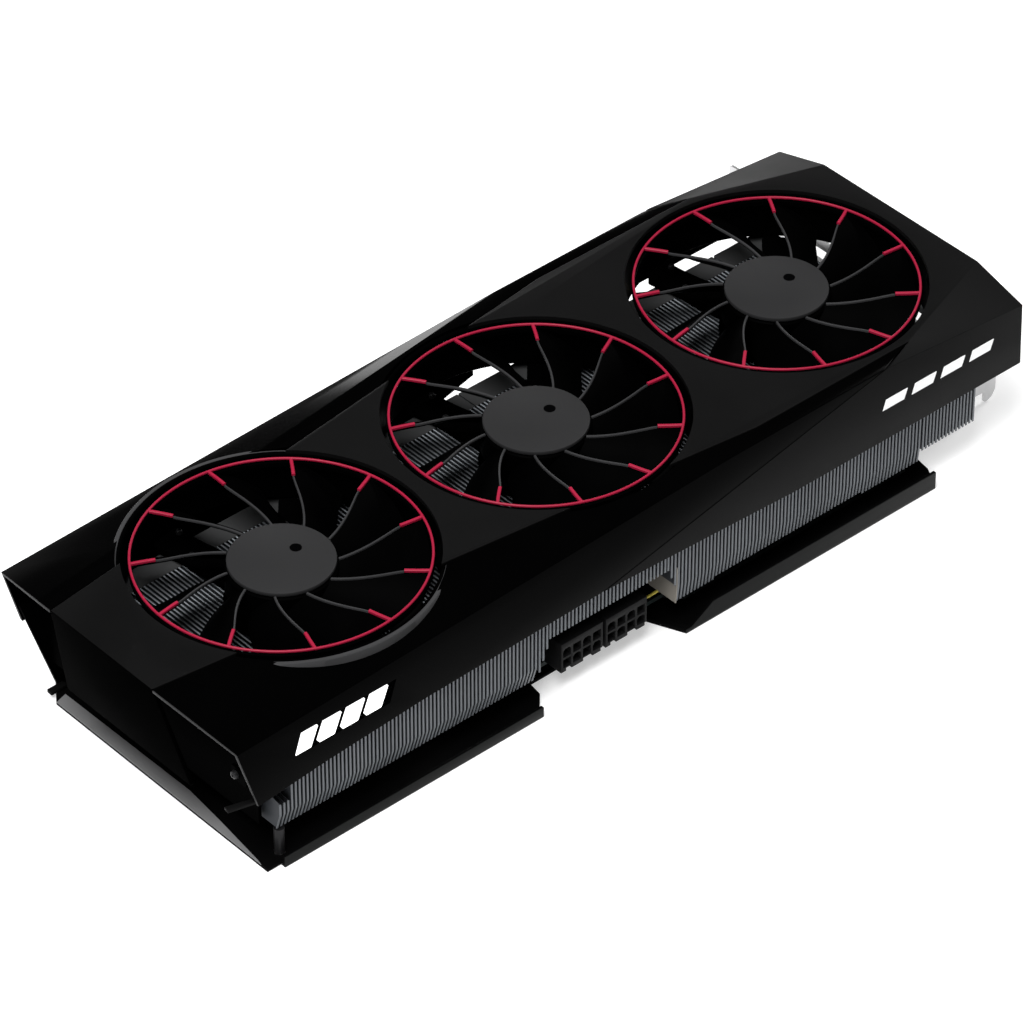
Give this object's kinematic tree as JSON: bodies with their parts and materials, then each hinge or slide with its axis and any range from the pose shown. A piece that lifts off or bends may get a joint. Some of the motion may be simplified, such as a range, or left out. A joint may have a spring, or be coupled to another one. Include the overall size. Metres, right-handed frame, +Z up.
{
  "type": "graphics card",
  "caption": "Triple-fan computer graphics card with an angular black shroud, red fan rings, fin stacks, backplate, power sockets and slot bracket.",
  "frame": {"origin": "centre of the bounding box's bottom face, on the backplate's underside", "axes": "+X along the card towards the slot bracket, +Y towards the edge connector, +Z up out of the fans"},
  "size_m": [0.3574, 0.145, 0.0636],
  "materials": {
    "matte_black": "satin",
    "gloss_black": "gloss",
    "light_white": "satin",
    "fan_plastic": "satin",
    "fan_red": "satin",
    "cap_grey": "matte",
    "steel": "satin",
    "brass": "satin",
    "copper": "satin",
    "fin_aluminium": "satin",
    "board": "satin",
    "silicon": "gloss",
    "chip_black": "matte",
    "socket_black": "satin",
    "bracket_steel": "brushed",
    "backplate_black": "satin"
  },
  "bodies": {
    "card": {"shroud_centre": "matte_black", "shroud_wing_near": "gloss_black", "shroud_wing_far": "gloss_black", "shroud_liner": "matte_black", "light_bar": "light_white", "fin_stack_left": "fin_aluminium", "fin_stack_centre": "fin_aluminium", "fin_stack_right": "fin_aluminium", "fin_stack_end": "fin_aluminium", "heat_pipe_1": "copper", "heat_pipe_2": "copper", "heat_pipe_3": "copper", "heat_pipe_4": "copper", "cold_plate": "copper", "circuit_board": "board", "gpu_package": "board", "gpu_die": "silicon", "memory_chip_1": "chip_black", "memory_chip_2": "chip_black", "memory_chip_3": "chip_black", "memory_chip_4": "chip_black", "inductor_1": "chip_black", "inductor_2": "chip_black", "inductor_3": "chip_black", "power_socket_left": "socket_black", "power_socket_right": "socket_black", "io_bracket": "bracket_steel", "display_socket_1": "steel", "display_socket_2": "steel", "display_socket_3": "steel", "display_socket_4": "steel", "backplate": "backplate_black", "post_free_end": "steel", "standoff_1": "steel", "standoff_2": "steel", "standoff_3": "steel", "standoff_4": "steel", "bracket_screw_1": "steel", "bracket_screw_2": "steel", "fan_base_left": "fan_plastic", "fan_bearing_left": "brass", "fan_stator_left": "copper", "fan_base_middle": "fan_plastic", "fan_bearing_middle": "brass", "fan_stator_middle": "copper", "fan_base_right": "fan_plastic", "fan_bearing_right": "brass", "fan_stator_right": "copper"},
    "fan_left": {"fan_rotor_left": "fan_plastic", "fan_trim_left": "fan_red", "fan_cap_left": "cap_grey", "fan_shaft_left": "steel"},
    "fan_middle": {"fan_rotor_middle": "fan_plastic", "fan_trim_middle": "fan_red", "fan_cap_middle": "cap_grey", "fan_shaft_middle": "steel"},
    "fan_right": {"fan_rotor_right": "fan_plastic", "fan_trim_right": "fan_red", "fan_cap_right": "cap_grey", "fan_shaft_right": "steel"}
  },
  "joints": [
    {"name": "fan_spin_left", "type": "hinge", "parent": "card", "child": "fan_left", "pos_m": [-0.10605, -0.0123, 0.0626], "axis": [0, 0, 1], "continuous": true},
    {"name": "fan_spin_middle", "type": "hinge", "parent": "card", "child": "fan_middle", "pos_m": [0.00165, -0.0123, 0.0626], "axis": [0, 0, 1], "continuous": true},
    {"name": "fan_spin_right", "type": "hinge", "parent": "card", "child": "fan_right", "pos_m": [0.10935, -0.0123, 0.0626], "axis": [0, 0, 1], "continuous": true}
  ]
}
